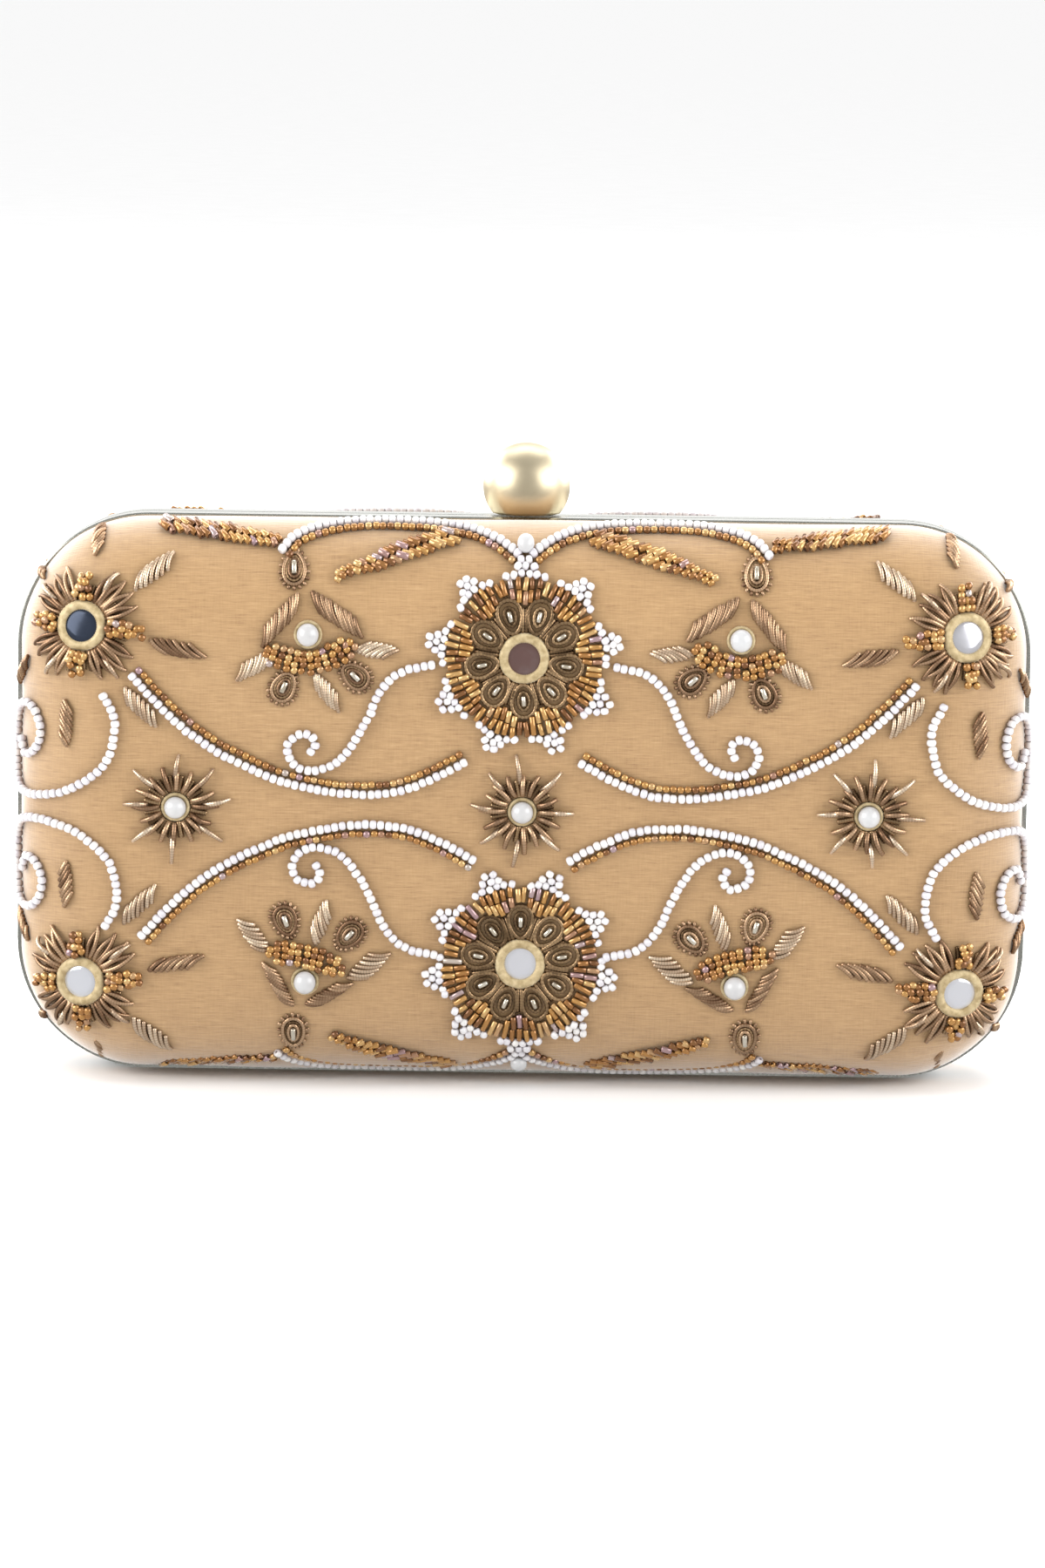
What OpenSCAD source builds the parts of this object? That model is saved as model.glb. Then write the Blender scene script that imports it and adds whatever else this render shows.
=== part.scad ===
// Hard box evening bag: two fabric-covered trays in hinged metal rims, closed by a ball latch.
// Frame: +Z up, +X along the width, the front half on the -Y side, the origin under the middle of the base.

/* [Case] */
// Overall width of the metal rims
case_w = 200; // [180:1:220]
// Overall height of the metal rims
case_h = 111; // [104:1:124]
// Corner radius of the rims' outline
corner_r = 26; // [25:0.5:30]
// Depth of each half, from the parting line to its face
half_depth = 24; // [22:0.5:28]
// How square the edge of each half is: 2 is an ellipse, and more is squarer
edge_power = 2.5; // [2:0.1:3]

/* [Rims] */
// Depth of each rim
rim_depth = 5; // [4.6:0.1:6]
// Thickness of a rim's outer band
band_t = 1.2; // [1.2:0.1:1.5]
// Thickness of the rim's face at the parting line
web_t = 1.2; // [1:0.1:1.4]
// Width of the channel that holds the edges of the layers
channel_w = 3.7; // [3.7:0.1:4]
// Thickness of the rim's inner wall
inner_wall_t = 1; // [0.8:0.1:1.2]

/* [Layers] */
// Thickness of the silk cover
cover_t = 0.5; // [0.4:0.05:0.5]
// Thickness of the foam under the silk
foam_t = 0.9; // [0.7:0.05:0.9]
// Thickness of the moulded board
board_t = 1.5; // [1.2:0.05:1.5]
// Thickness of the lining
lining_t = 0.5; // [0.4:0.05:0.5]

/* [Hinges] */
// Distance of each hinge from the middle
hinge_x = 55; // [45:1:62]
// Length of each hinge
hinge_len = 18; // [16:0.5:24]
// Radius of the knuckles
knuckle_r = 1.5; // [1.4:0.05:1.6]
// Radius of the hinge pins
hinge_pin_r = 0.75; // [0.6:0.05:0.8]
// How far the front half opens, in degrees
open_angle = 100; // [90:1:104]

/* [Latch] */
// Radius of the ball knob
ball_r = 8.6; // [7.5:0.1:9]
// Height of the ball's centre above the rims
ball_rise = 5.9; // [5:0.1:6.5]
// Radius of the stud that carries the ball
stud_r = 1.25; // [1:0.05:1.3]
// Radius of the pin that the lever turns on
pivot_pin_r = 0.7; // [0.6:0.05:0.75]
// How far the knob tips back, in degrees
press_angle = 8; // [7:0.5:8.5]

/* [Trim] */
// Radius of the sewn mirrors
mirror_r = 3.1; // [2.5:0.1:3.5]
// Radius of the cord wound round each mirror
ring_cord_r = 0.8; // [0.6:0.05:1]
// Radius of the large pearls
pearl_r = 2.2; // [1.8:0.1:2.5]
// Radius of the small pearls at the top and the bottom
small_pearl_r = 1.7; // [1.4:0.1:2]

/* [Hidden] */
$fn = 48;

// Small clearances, and the overrun that makes a cut run clean through
gap = 0.05;
parting_gap = 0.1;
over = 1;

// Straight lengths between the corners, and the height of the middle
side_x = case_w / 2 - corner_r;
side_z = case_h / 2 - corner_r;
mid_z = case_h / 2;

// Depth at which a layer's side wall starts to curve, and its semi-axes there
curve_start = rim_depth + 0.5;
side_reach = corner_r - band_t - 2 * gap;
face_rise = half_depth - curve_start;
edge_steps = 10;

// Where a layer's side wall starts, clear of the knuckles
wall_foot = knuckle_r + 0.3;

// How far each layer's outer surface lies inside the cover's
foam_in = cover_t + gap;
board_in = foam_in + foam_t + gap;
lining_in = board_in + board_t + gap;
lining_inner = lining_in + lining_t;

// Underside of the top rims' inner walls
rim_flange = band_t + channel_w + inner_wall_t;
soffit_z = case_h - rim_flange;
bevel = 0.3;

// Hinge axis, low enough that the knuckles just clear the ground
axis_z = knuckle_r + 0.1;
relief_r = knuckle_r + 0.25;
knuckle_gap = 0.3;
mid_knuckle = hinge_len * 0.42;
end_knuckle = (hinge_len - mid_knuckle) / 2 - knuckle_gap;
hinge_bore_r = hinge_pin_r + gap;
chamfer_angle = open_angle / 2 + 1;

// Lever, hook and strike
lever_t = 1.2;
lever_half_w = 5;
lever_top = soffit_z - 1.9;
lever_low = lever_top - lever_t;
pivot_y = 7;
pivot_z = lever_top - lever_t / 2;
barrel_r = 1.4;
pivot_bore_r = pivot_pin_r + gap;
nose_y = -4.2;
hook_t = 1.2;
hook_drop = 1.2;
tail_y = 12.6;
tail_half_w = 2.2;
strike_y = nose_y + hook_t + 0.3;
strike_t = 1.2;
strike_top = lever_low - 0.2;
cheek_in = lever_half_w + 0.6;
cheek_t = 1.2;
cheek_out = cheek_in + cheek_t;
flange_out = cheek_out + 5.7;
flange_t = 1;
rivet_x = cheek_out + 2.8;
rivet_y = 3.2;
rivet_r = 0.8;
stud_slot_half = stud_r + 0.35;
stud_slot_back = 3;

// Latch spring under the lever's tail
spring_y = 10.8;
spring_r = 1.3;
spring_wire_r = 0.25;
spring_turns = 5;
spring_steps = 10;
spring_sides = 6;
spring_seat_z = lever_low - 4.2;
seat_t = 1;

// Lugs for a chain
lug_x = 66;
lug_r = 4;
lug_t = 1.4;
lug_y = 2.2;
lug_bore_r = 1.7;
lug_bore_z = soffit_z - 4.6;

// Slip pocket on the rear lining
pocket_w = 96;
pocket_h = 56;
pocket_t = 0.5;
pocket_hem = 3;
pocket_low = 24;

// Places of the sewn trim, from the middle of the face
mirror_spots = [[0, 30], [0, -30], [86, 35], [-86, 35], [86, -35], [-86, -35]];
pearl_spots = [[0, 0], [67.5, 0], [-67.5, 0], [42, 34], [-42, 34], [42, -34], [-42, -34]];
small_pearl_spots = [[0, 51.5], [0, -51.5]];
mirror_t = 0.8;

// --- Shapes that the two halves share -------------------------------------------------------

// A layer's curved edge, as [distance out from the straight middle, depth], going from rim to face
function edge_curve(inset) = [
  for (i = [0 : edge_steps])
    let (a = 90 * i / edge_steps, p = 2 / edge_power)
    [(side_reach - inset) * pow(cos(a), p), curve_start + (face_rise - inset) * pow(sin(a), p)]
];

function flipped(points) = [for (i = [len(points) - 1 : -1 : 0]) points[i]];

// Cross-section of one layer of the tray
function layer_section(inset, t) = concat(
  [[side_reach - inset, wall_foot]], edge_curve(inset),
  flipped(edge_curve(inset + t)), [[side_reach - inset - t, wall_foot]]
);

// Cross-section of a rim: a channel, open towards the face of its half
rim_section = [
  [corner_r - rim_flange, parting_gap], [corner_r - bevel, parting_gap],
  [corner_r, parting_gap + bevel], [corner_r, rim_depth - bevel],
  [corner_r - bevel, rim_depth], [corner_r - band_t, rim_depth],
  [corner_r - band_t, parting_gap + web_t], [corner_r - band_t - channel_w, parting_gap + web_t],
  [corner_r - band_t - channel_w, rim_depth], [corner_r - rim_flange, rim_depth]
];

// A cross-section carried round the outline: four turned corners and four straight sides
module round_outline(section) {
  for (turn = [0 : 3])
    let (across = turn % 2 == 0 ? side_x : side_z, along = turn % 2 == 0 ? side_z : side_x)
    rotate([0, 0, 90 * turn]) {
      translate([across, along, 0]) rotate_extrude(angle = 90) polygon(section);
      translate([across, along, 0]) rotate([90, 0, 0])
        linear_extrude(height = 2 * along) polygon(section);
    }
}

module tray_layer(inset, t) {
  union() {
    round_outline(layer_section(inset, t));
    translate([-side_x, -side_z, half_depth - inset - t]) cube([2 * side_x, 2 * side_z, t]);
  }
}

// Stands a half up from the flat: depth runs away from the parting line, to the front or the rear
module front_half() {
  translate([0, 0, mid_z]) rotate([90, 0, 0]) children();
}

module rear_half() {
  rotate([0, 0, 180]) front_half() children();
}

// Room for the knob's stud through the rims and the layers at the top
module stud_room(margin) {
  half = stud_slot_half + margin;
  translate([-half, -half, soffit_z - over])
    cube([2 * half, half + stud_slot_back + margin, rim_flange + 2 * over]);
}

module x_rod(r, x0, x1, y, z) {
  translate([x0, y, z]) rotate([0, 90, 0]) cylinder(r = r, h = x1 - x0);
}

// --- Hinges ---------------------------------------------------------------------------------

// Wedge cut from the rims' lower edges, which lets them swing apart and stops them when its sides meet
module hinge_wedge() {
  drop = axis_z + over;
  reach = drop * tan(chamfer_angle);
  translate([-case_w / 2, 0, axis_z]) rotate([90, 0, 90])
    linear_extrude(height = case_w) polygon([[0, 0], [-reach, -drop], [reach, -drop]]);
}

module mid_knuckle_rod(r, spare) {
  x_rod(r, -mid_knuckle / 2 - spare, mid_knuckle / 2 + spare, 0, axis_z);
}

module end_knuckle_rods(r, spare) {
  for (s = [-1, 1]) {
    centre = s * (hinge_len - end_knuckle) / 2;
    x_rod(r, centre - end_knuckle / 2 - spare, centre + end_knuckle / 2 + spare, 0, axis_z);
  }
}

module at_hinges() {
  for (s = [-1, 1]) translate([s * hinge_x, 0, 0]) children();
}

module hinge_bores() {
  at_hinges() x_rod(hinge_bore_r, -hinge_len / 2 - over, hinge_len / 2 + over, 0, axis_z);
}

module hinge_pin(side) {
  color("silver") x_rod(hinge_pin_r, side * hinge_x - hinge_len / 2, side * hinge_x + hinge_len / 2, 0, axis_z);
}

// --- Rear half ------------------------------------------------------------------------------

module rear_frame() {
  color("silver") difference() {
    union() {
      difference() {
        rear_half() round_outline(rim_section);
        hinge_wedge();
        at_hinges() mid_knuckle_rod(relief_r, knuckle_gap);
        stud_room(0);
      }
      at_hinges() end_knuckle_rods(knuckle_r, 0);
    }
    hinge_bores();
    rivet_holes(1);
  }
}

module rear_shell() { color("tan") difference() { rear_half() tray_layer(board_in, board_t); stud_room(0.3); } }

module rear_foam() { color("white") difference() { rear_half() tray_layer(foam_in, foam_t); stud_room(0.3); } }

module rear_cover() { color("burlywood") difference() { rear_half() tray_layer(0, cover_t); stud_room(0.3); } }

module rear_lining() {
  color("goldenrod") difference() { rear_half() tray_layer(lining_in, lining_t); stud_room(0.3); }
}

// Flat pocket, hemmed to the lining along its sides and its foot, and open at the top
module slip_pocket() {
  back = half_depth - lining_inner - gap;
  color("goldenrod") difference() {
    translate([-pocket_w / 2, back - 2 * pocket_t, pocket_low]) cube([pocket_w, 2 * pocket_t, pocket_h]);
    translate([-pocket_w / 2 + pocket_hem, back - pocket_t, pocket_low + pocket_hem])
      cube([pocket_w - 2 * pocket_hem, pocket_t + over, pocket_h]);
  }
}

// Eye soldered under the rear rim, for the end ring of a chain
module chain_lug(side) {
  color("silver") translate([side * lug_x, lug_y + lug_t, 0]) difference() {
    union() {
      translate([0, 0, lug_bore_z]) rotate([90, 0, 0]) cylinder(r = lug_r, h = lug_t);
      translate([-lug_r, -lug_t, lug_bore_z]) cube([2 * lug_r, lug_t, soffit_z - lug_bore_z]);
    }
    translate([0, over, lug_bore_z]) rotate([90, 0, 0]) cylinder(r = lug_bore_r, h = lug_t + 2 * over);
  }
}

// --- Latch ----------------------------------------------------------------------------------

// Holes in a rim's inner wall and in the flange under it: side is 1 for the rear and -1 for the front
module rivet_holes(side) {
  for (s = [-1, 1]) translate([s * rivet_x, side * rivet_y, soffit_z - flange_t - over])
    cylinder(r = rivet_r + gap / 2, h = flange_t + inner_wall_t + over + gap);
}

module rivets(side) {
  head_t = 0.5;
  color("silver") for (s = [-1, 1]) translate([s * rivet_x, side * rivet_y, soffit_z - flange_t]) {
    cylinder(r = rivet_r, h = flange_t + inner_wall_t);
    translate([0, 0, -head_t]) cylinder(r1 = rivet_r, r2 = 2 * rivet_r, h = head_t);
  }
}

module flanges(y0, y1) {
  for (s = [-1, 1]) translate([s * (cheek_out + flange_out) / 2, (y0 + y1) / 2, soffit_z - flange_t / 2])
    cube([flange_out - cheek_out, y1 - y0, flange_t], center = true);
}

// Carries the lever between two cheeks, with a seat for its spring behind
module latch_bracket() {
  front_y = web_t + 2 * parting_gap;
  plate_y = 3.4;
  back_y = 9;
  seat_back = 13.2;
  cheek_low = pivot_z - barrel_r - 0.4;
  color("silver") difference() {
    union() {
      flanges(front_y, rim_depth);
      translate([-cheek_out, plate_y, soffit_z - flange_t]) cube([2 * cheek_out, back_y - plate_y, flange_t]);
      for (x = [-cheek_out, cheek_in]) {
        translate([x, front_y, cheek_low]) cube([cheek_t, back_y - front_y, soffit_z - cheek_low]);
        translate([x, back_y - over, spring_seat_z - seat_t])
          cube([cheek_t, seat_back - back_y + over, pivot_z - spring_seat_z + seat_t]);
      }
      translate([-cheek_out, back_y, spring_seat_z - seat_t]) cube([2 * cheek_out, seat_back - back_y, seat_t]);
    }
    x_rod(pivot_bore_r, -cheek_out - over, cheek_out + over, pivot_y, pivot_z);
    rivet_holes(1);
  }
}

module latch_pivot_pin() {
  color("silver") x_rod(pivot_pin_r, -cheek_out - 0.4, cheek_out + 0.4, pivot_y, pivot_z);
}

// Round wire swept up a helix, as one closed solid
module latch_spring() {
  rings = spring_turns * spring_steps;
  low = spring_seat_z + spring_wire_r + gap;
  rise = lever_low - gap - 2 * spring_wire_r - spring_seat_z - gap;
  function ring_point(k, j) =
    let (turn = 360 * k / spring_steps, a = 360 * j / spring_sides,
         out = spring_r + spring_wire_r * cos(a))
    [out * cos(turn), out * sin(turn), low + rise * k / rings + spring_wire_r * sin(a)];
  points = [for (k = [0 : rings]) for (j = [0 : spring_sides - 1]) ring_point(k, j)];
  walls = [
    for (k = [0 : rings - 1]) for (j = [0 : spring_sides - 1])
      let (n = (j + 1) % spring_sides, a = k * spring_sides, b = a + spring_sides)
      [a + j, b + j, b + n, a + n]
  ];
  first_end = [for (j = [0 : spring_sides - 1]) j];
  last_end = [for (j = [spring_sides - 1 : -1 : 0]) rings * spring_sides + j];
  color("silver") translate([0, spring_y, 0])
    polyhedron(points = points, faces = concat([first_end], walls, [last_end]));
}

// Plate that turns on the pivot pin, with the hook at its nose and the spring under its tail
module latch_lever() {
  color("silver") difference() {
    union() {
      translate([-lever_half_w, nose_y, lever_low]) cube([2 * lever_half_w, pivot_y - nose_y, lever_t]);
      translate([-lever_half_w, nose_y, lever_low - hook_drop]) cube([2 * lever_half_w, hook_t, hook_drop + gap]);
      translate([-tail_half_w, pivot_y, lever_low]) cube([2 * tail_half_w, tail_y - pivot_y, lever_t]);
      x_rod(barrel_r, -lever_half_w, lever_half_w, pivot_y, pivot_z);
    }
    x_rod(pivot_bore_r, -lever_half_w - over, lever_half_w + over, pivot_y, pivot_z);
    translate([0, 0, lever_low - over]) cylinder(r = stud_r, h = lever_t + 2 * over);
  }
}

stud_top = case_h + ball_rise;

module knob_stud() {
  color("silver") translate([0, 0, lever_low]) cylinder(r = stud_r - gap / 5, h = stud_top - lever_low);
}

module knob_ball() {
  base_gap = 0.4;
  color("khaki") difference() {
    translate([0, 0, case_h + ball_rise]) sphere(r = ball_r);
    translate([-ball_r, -ball_r, case_h + base_gap - ball_r]) cube([2 * ball_r, 2 * ball_r, ball_r]);
    translate([0, 0, case_h - over]) cylinder(r = stud_r, h = ball_rise + over + gap);
  }
}

// --- Front half -----------------------------------------------------------------------------

module front_frame() {
  color("silver") difference() {
    union() {
      difference() {
        front_half() round_outline(rim_section);
        hinge_wedge();
        at_hinges() end_knuckle_rods(relief_r, knuckle_gap);
        stud_room(0);
      }
      at_hinges() mid_knuckle_rod(knuckle_r, 0);
    }
    hinge_bores();
    rivet_holes(-1);
  }
}

module front_shell() { color("tan") difference() { front_half() tray_layer(board_in, board_t); stud_room(0.3); } }

module front_foam() { color("white") difference() { front_half() tray_layer(foam_in, foam_t); stud_room(0.3); } }

module front_cover() { color("burlywood") difference() { front_half() tray_layer(0, cover_t); stud_room(0.3); } }

module front_lining() {
  color("goldenrod") difference() { front_half() tray_layer(lining_in, lining_t); stud_room(0.3); }
}

// Staple under the front rim, whose cross bar the hook catches
module strike_staple() {
  bar_low = strike_top - strike_t;
  color("silver") difference() {
    union() {
      flanges(-rim_depth + 0.2, strike_y + strike_t);
      for (x = [-cheek_out, cheek_in])
        translate([x, strike_y, bar_low]) cube([cheek_t, strike_t, soffit_z - bar_low]);
      translate([-cheek_out, strike_y, bar_low]) cube([2 * cheek_out, strike_t, strike_t]);
    }
    rivet_holes(-1);
  }
}

// --- Sewn trim ------------------------------------------------------------------------------

// Distance of a spot from the straight middle of the face, and the way it lies from there
function beyond(v, half) = sign(v) * max(abs(v) - half, 0);
function spot_out(s) = [beyond(s[0], side_x), beyond(s[1], side_z)];

// Depth of the cover there, and the lean of its surface
function spot_ratio(s) = norm(spot_out(s)) / side_reach;
function spot_depth(s) = curve_start + face_rise * pow(1 - pow(spot_ratio(s), edge_power), 1 / edge_power);
function spot_lean(s) = let (q = spot_ratio(s))
  atan(face_rise / side_reach * pow(q, edge_power - 1) * pow(1 - pow(q, edge_power), 1 / edge_power - 1));

module at_spots(spots) {
  for (s = spots) let (out = spot_out(s))
    translate([s[0], s[1], spot_depth(s)])
      rotate([0, 0, atan2(out[1], out[0])]) rotate([0, spot_lean(s), 0]) translate([0, 0, gap]) children();
}

module mirrors() {
  color("lightgray") at_spots(mirror_spots) cylinder(r = mirror_r, h = mirror_t);
}

module mirror_rings() {
  color("gold") at_spots(mirror_spots) translate([0, 0, ring_cord_r])
    rotate_extrude() translate([mirror_r + gap + ring_cord_r, 0]) circle(r = ring_cord_r);
}

module pearls() {
  color("ivory") {
    at_spots(pearl_spots) translate([0, 0, pearl_r]) sphere(r = pearl_r);
    at_spots(small_pearl_spots) translate([0, 0, small_pearl_r]) sphere(r = small_pearl_r);
  }
}

// --- Nodes ----------------------------------------------------------------------------------

rear_frame();
rear_shell();
rear_foam();
rear_cover();
rear_lining();
slip_pocket();
hinge_pin(-1);  // hinge_pin_left
hinge_pin(1);  // hinge_pin_right
latch_bracket();
rivets(1);  // latch_rivets
latch_pivot_pin();
latch_spring();
chain_lug(-1);  // chain_lug_left
chain_lug(1);  // chain_lug_right
rear_half() mirrors();  // rear_mirrors
rear_half() mirror_rings();  // rear_mirror_rings
rear_half() pearls();  // rear_pearls
front_frame();
front_shell();
front_foam();
front_cover();
front_lining();
strike_staple();
rivets(-1);  // strike_rivets
front_half() mirrors();  // front_mirrors
front_half() mirror_rings();  // front_mirror_rings
front_half() pearls();  // front_pearls
latch_lever();
knob_stud();
knob_ball();
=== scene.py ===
"""Looks of a hard box evening bag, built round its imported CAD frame.

The needlework is laid out flat on a panel, in millimetres: u to the right and v up from the middle of a
half's face, and h out from the silk. Tray.bend() wraps the panel over a half of the bag, so what is sewn
near an edge goes round it. What is written for one quarter of a panel is mirrored into the other three.
"""

import math

import bpy
import numpy as np
from mathutils import Matrix, Vector


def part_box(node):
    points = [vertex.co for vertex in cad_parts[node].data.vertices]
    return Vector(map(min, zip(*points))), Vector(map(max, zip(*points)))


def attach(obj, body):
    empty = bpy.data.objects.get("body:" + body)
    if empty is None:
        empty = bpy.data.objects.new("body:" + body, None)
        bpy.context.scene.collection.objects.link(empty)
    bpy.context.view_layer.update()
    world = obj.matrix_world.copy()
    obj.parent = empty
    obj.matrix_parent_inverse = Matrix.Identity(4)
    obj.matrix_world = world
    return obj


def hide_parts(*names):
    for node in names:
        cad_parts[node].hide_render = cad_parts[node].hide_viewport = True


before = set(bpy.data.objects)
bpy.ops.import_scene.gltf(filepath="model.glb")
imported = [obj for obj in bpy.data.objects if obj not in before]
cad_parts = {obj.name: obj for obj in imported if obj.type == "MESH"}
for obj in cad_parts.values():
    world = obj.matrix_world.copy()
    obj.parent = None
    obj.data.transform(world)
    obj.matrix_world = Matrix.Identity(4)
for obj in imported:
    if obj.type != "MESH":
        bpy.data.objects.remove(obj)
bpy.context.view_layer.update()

MM = 0.001
rng = np.random.default_rng(11)

# --- Sizes, in millimetres ------------------------------------------------------------------------

# The rounded corner of a half's outline, and where a half's side begins to round over
CORNER_R = 26.0
CURVE_START = 5.5
# The power of the superellipse along which a half rounds over: 2 is a circle, and more is squarer
EDGE_POWER = 2.5
# How far from the parting line the fabric is tucked under the rim
EDGE_FOOT = 3.4
SHEET_T = 0.5
# How far the bag's weight pushes what is sewn underneath into the padding
PRESSED = 1.2
# How full the padding is over each half: 1 is as it is made, and the rear lies flatter
FULLNESS = {"front": 1.0, "rear": 0.5}


def box_mm(node):
    low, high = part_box(node)
    return np.array(low) / MM, np.array(high) / MM


rim_low, rim_high = box_mm("front_frame")
cover_low, cover_high = box_mm("front_cover")
lining_low, lining_high = box_mm("front_lining")
ball_low, ball_high = box_mm("knob_ball")
pocket_low, pocket_high = box_mm("slip_pocket")

# The flat middle of a half reaches this far from the middle, before the corners and sides begin
SIDE_X = rim_high[0] - CORNER_R
SIDE_Z = (rim_high[2] - rim_low[2]) / 2 - CORNER_R
MID_Z = (rim_high[2] + rim_low[2]) / 2


# --- Small helpers --------------------------------------------------------------------------------


def smooth_step(x):
    x = np.clip(x, 0, 1)
    return x * x * (3 - 2 * x)


def jitter(most):
    return rng.uniform(-most, most)


def turns_of(count):
    """That many angles, evenly round a circle."""
    return 2 * math.pi * np.arange(count) / count


def length_along(path):
    """How far along a path each of its points is."""
    return np.concatenate([[0], np.cumsum(np.linalg.norm(np.diff(path, axis=0), axis=1))])


def spread(path, run, at):
    """The points at these lengths along a path."""
    return np.column_stack([np.interp(at, run, axis) for axis in path.T])


# --- Panels ---------------------------------------------------------------------------------------

# The fabric's points: how far apart they are on the flat middle, and how many there are from there to the
# edge, and round a corner that is plain or pleated
PANEL_STEP = 2.0
RUN_POINTS = 46
PLAIN_CORNER, PLEATED_CORNER = 26, 70


class Tray:
    """One surface of a half: flat in the middle, and rounded over to the rim along a superellipse.
    reach is how far it goes out past the flat middle, and rise how far it stands off CURVE_START."""

    def __init__(self, reach, rise, padding):
        turn = np.linspace(0, math.pi / 2, 900)
        power = 2 / EDGE_POWER
        out = reach * np.sin(turn) ** power
        depth = CURVE_START + rise * np.cos(turn) ** power
        out = np.append(out, [reach, reach])
        depth = np.append(depth, [(CURVE_START + EDGE_FOOT) / 2, EDGE_FOOT])
        self.run = length_along(np.column_stack([out, depth]))
        self.out, self.depth = out, depth
        self.lean = np.arctan2(-np.gradient(depth, self.run), np.gradient(out, self.run))
        self.padding = padding
        self.end = self.run[-1]

    def loft(self, u, v, run, upward):
        """How far the padding lifts the fabric off the hard tray. It bulges past the rim, but not under the
        bag, and it is held down along its edge."""
        across = np.clip(1 - (u / (SIDE_X + self.end)) ** 2, 0, 1)
        up = np.clip(1 - (v / (SIDE_Z + self.end)) ** 2, 0, 1)
        crown = 0.9 * across * up
        bulge = np.interp(upward, [-1, -0.6, 0, 0.7, 1], [0.0, 0.1, 0.15, 0.7, 1.3])
        bulge = bulge * smooth_step((run - 14) / 15)
        ripple = 0.07 * (np.sin(u / 5.3 + 1.1) * np.sin(v / 4.1 + 0.4) + np.sin((u + 2 * v) / 9.7))
        held = smooth_step((self.end - 2.2 - run) / 3.6)
        return self.padding * (crown + bulge + ripple) * held

    def bend(self, points, turn, pressed=0.0):
        """Panel points (u, v, h) to the bag's frame, in metres. turn is 1 for the front half and -1 for the
        rear. pressed is how far what is sewn underneath is pushed into the padding."""
        u, v, h = np.asarray(points, float).T
        core_u = np.clip(u, -SIDE_X, SIDE_X)
        core_v = np.clip(v, -SIDE_Z, SIDE_Z)
        du, dv = u - core_u, v - core_v
        run = np.hypot(du, dv)
        safe = np.where(run > 1e-9, run, 1.0)
        lean = np.interp(run, self.run, self.lean)
        upward = dv / safe
        h = h + self.loft(u, v, run, upward)
        h = h - pressed * smooth_step(-2.2 * upward - 1.1) * smooth_step((run - 18) / 7)
        out = np.interp(run, self.run, self.out) + h * np.sin(lean)
        depth = np.interp(run, self.run, self.depth) + h * np.cos(lean)
        x = core_u + du / safe * out
        z = MID_Z + core_v + dv / safe * out
        z = np.maximum(z, 0.0)  # nothing reaches below what the bag stands on
        return np.column_stack([turn * x, -turn * depth, z]) * MM

    def grid(self, corner_points):
        """Panel points and quads over the whole surface: the flat middle, four sides, four corner fans."""
        across = np.linspace(-SIDE_X, SIDE_X, int(2 * SIDE_X / PANEL_STEP) + 1)
        up = np.linspace(-SIDE_Z, SIDE_Z, int(2 * SIDE_Z / PANEL_STEP) + 1)
        runs = np.linspace(0, self.end, RUN_POINTS)
        fan = np.linspace(0, math.pi / 2, corner_points)
        places, points, quads = {}, [], []

        def corner(p):
            key = (round(p[0], 4), round(p[1], 4))
            if key not in places:
                places[key] = len(points)
                points.append((p[0], p[1], 0.0))
            return places[key]

        def patch(place, rows, columns):
            for r0, r1 in zip(rows[:-1], rows[1:]):
                for c0, c1 in zip(columns[:-1], columns[1:]):
                    ring = [corner(place(*rc)) for rc in ((r0, c0), (r1, c0), (r1, c1), (r0, c1))]
                    ring = [k for n, k in enumerate(ring) if k not in ring[:n]]
                    quads.append(ring)

        def fan_point(su, sv, run, a):
            return su * (SIDE_X + run * math.cos(a)), sv * (SIDE_Z + run * math.sin(a))

        patch(lambda u, v: (u, v), across, up)
        patch(lambda run, v: (SIDE_X + run, v), runs, up)
        patch(lambda v, run: (-SIDE_X - run, v), up, runs)
        patch(lambda u, run: (u, SIDE_Z + run), across, runs)
        patch(lambda run, u: (u, -SIDE_Z - run), runs, across)
        for su, sv in ((1, 1), (-1, 1), (-1, -1), (1, -1)):
            if su * sv > 0:
                patch(lambda run, a: fan_point(su, sv, run, a), runs, fan)
            else:
                patch(lambda a, run: fan_point(su, sv, run, a), fan, runs)
        return np.array(points), quads


cover_trays = {
    body: Tray(cover_high[0] - SIDE_X, -cover_low[1] - CURVE_START, full) for body, full in FULLNESS.items()
}
lining_tray = Tray(lining_high[0] - SHEET_T - SIDE_X, -lining_low[1] - SHEET_T - CURVE_START, 0.0)

# --- Meshes ---------------------------------------------------------------------------------------


def show_mesh(name, mesh, material):
    mesh.materials.append(material)
    piece = bpy.data.objects.new(name, mesh)
    bpy.context.scene.collection.objects.link(piece)
    return piece


def new_object(name, points, faces, material, smooth=True):
    mesh = bpy.data.meshes.new(name)
    mesh.from_pydata([tuple(p) for p in points], [], faces)
    mesh.validate()
    mesh.polygons.foreach_set("use_smooth", [smooth] * len(mesh.polygons))
    return show_mesh(name, mesh, material)


def add_panel_uv(piece, panel_points):
    """Keeps each point's place on the flat panel, in metres, for the weave."""
    layer = piece.data.uv_layers.new(name="panel")
    index = np.empty(len(piece.data.loops), int)
    piece.data.loops.foreach_get("vertex_index", index)
    layer.data.foreach_set("uv", (panel_points[index, :2] * MM).ravel())


def apply_modifiers(piece):
    bpy.context.view_layer.update()
    shaped = piece.evaluated_get(bpy.context.evaluated_depsgraph_get())
    mesh = bpy.data.meshes.new_from_object(shaped)
    piece.modifiers.clear()
    piece.data = mesh


def thicken(piece, thickness, offset):
    solid = piece.modifiers.new("thickness", "SOLIDIFY")
    solid.thickness = thickness
    solid.offset = offset
    apply_modifiers(piece)


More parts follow.
